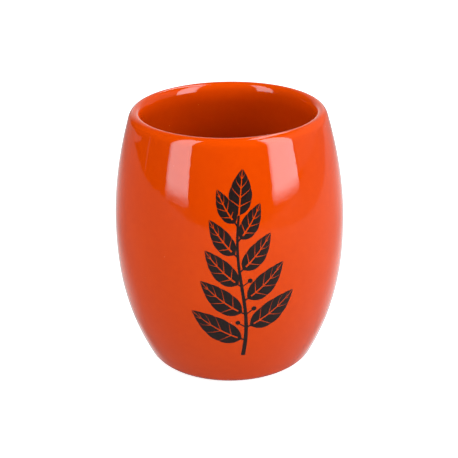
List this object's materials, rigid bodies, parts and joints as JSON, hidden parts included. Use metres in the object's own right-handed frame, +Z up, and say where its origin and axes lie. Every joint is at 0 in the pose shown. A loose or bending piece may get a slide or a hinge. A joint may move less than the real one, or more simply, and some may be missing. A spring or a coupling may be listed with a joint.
{
  "type": "glazed ceramic mate cup",
  "caption": "Barrel-shaped handleless mate cup of glazed ceramic, open at the top, with a rounded lip and a foot ring to stand on.",
  "frame": {"origin": "centre of the foot, at the level the cup stands on", "axes": "+Z up along the cup's axis, -Y towards the printed front"},
  "size_m": [0.0864, 0.0864, 0.098],
  "materials": {
    "glaze": "glossy orange glaze",
    "print": "black fired-on print under a gloss"
  },
  "bodies": {
    "root": {"cup": "glaze"}
  },
  "joints": []
}
